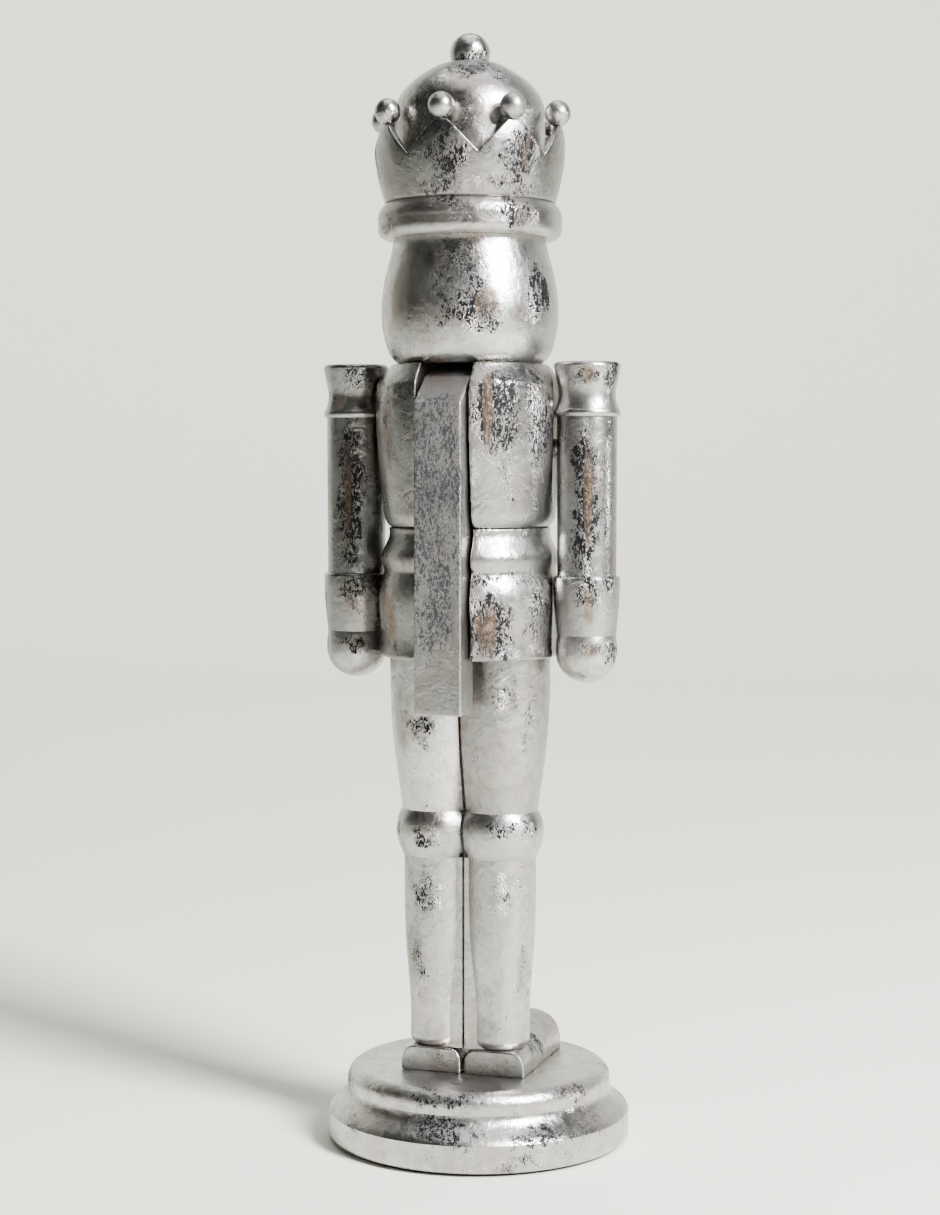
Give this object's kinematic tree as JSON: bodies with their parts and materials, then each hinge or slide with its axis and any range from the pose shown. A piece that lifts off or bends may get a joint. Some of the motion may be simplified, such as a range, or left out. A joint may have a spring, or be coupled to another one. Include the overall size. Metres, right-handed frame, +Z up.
{
  "type": "nutcracker figure",
  "caption": "Crowned wooden nutcracker figure in distressed silver leaf, turned and pegged together, with a lever down its back that works the jaw",
  "frame": {"origin": "centre of the plinth's underside, on the table", "axes": "+Z up along the figure's height, -Y the way the figure faces, +Y towards the jaw lever at its back, +X its left hand"},
  "size_m": [0.1052, 0.105, 0.381],
  "materials": {
    "silver_leaf": "turned beech under distressed silver leaf, satin, crackled to black bole in patches",
    "bare_beech": "plain beech dowel, unfinished",
    "felt": "pressed wool felt",
    "steel": "bright zinc-plated steel"
  },
  "bodies": {
    "figure": {"felt_pad": "felt", "base_plinth": "silver_leaf", "base_step": "silver_leaf", "base_screws": "steel", "left_shoe": "silver_leaf", "left_boot": "silver_leaf", "left_knee_roll": "silver_leaf", "left_thigh": "silver_leaf", "right_shoe": "silver_leaf", "right_boot": "silver_leaf", "right_knee_roll": "silver_leaf", "right_thigh": "silver_leaf", "knee_dowels": "bare_beech", "hip_dowels": "bare_beech", "coat_skirt": "silver_leaf", "chest": "silver_leaf", "waist_dowel": "bare_beech", "neck_dowels": "bare_beech", "pivot_pin": "steel", "head": "silver_leaf", "upper_teeth": "silver_leaf", "nose": "silver_leaf", "moustache": "silver_leaf", "eyes": "silver_leaf", "brows": "silver_leaf", "crown_band": "silver_leaf", "crown_wall": "silver_leaf", "crown_pearls": "silver_leaf", "pearl_pins": "steel", "crown_dome": "silver_leaf", "crown_finial": "silver_leaf", "finial_dowel": "bare_beech", "left_shoulder_cap": "silver_leaf", "left_sleeve": "silver_leaf", "left_cuff": "silver_leaf", "left_hand": "silver_leaf", "right_shoulder_cap": "silver_leaf", "right_sleeve": "silver_leaf", "right_cuff": "silver_leaf", "right_hand": "silver_leaf", "arm_dowels": "bare_beech", "shoulder_pegs": "bare_beech", "coat_buttons": "silver_leaf", "belt_buckle": "silver_leaf"},
    "jaw": {"jaw_lever": "silver_leaf", "lower_teeth": "silver_leaf", "beard": "silver_leaf"}
  },
  "joints": [
    {"name": "jaw_hinge", "type": "hinge", "parent": "figure", "child": "jaw", "pos_m": [0, 0.018, 0.256], "axis": [1, 0, 0], "range_deg": [0, 16]}
  ]
}
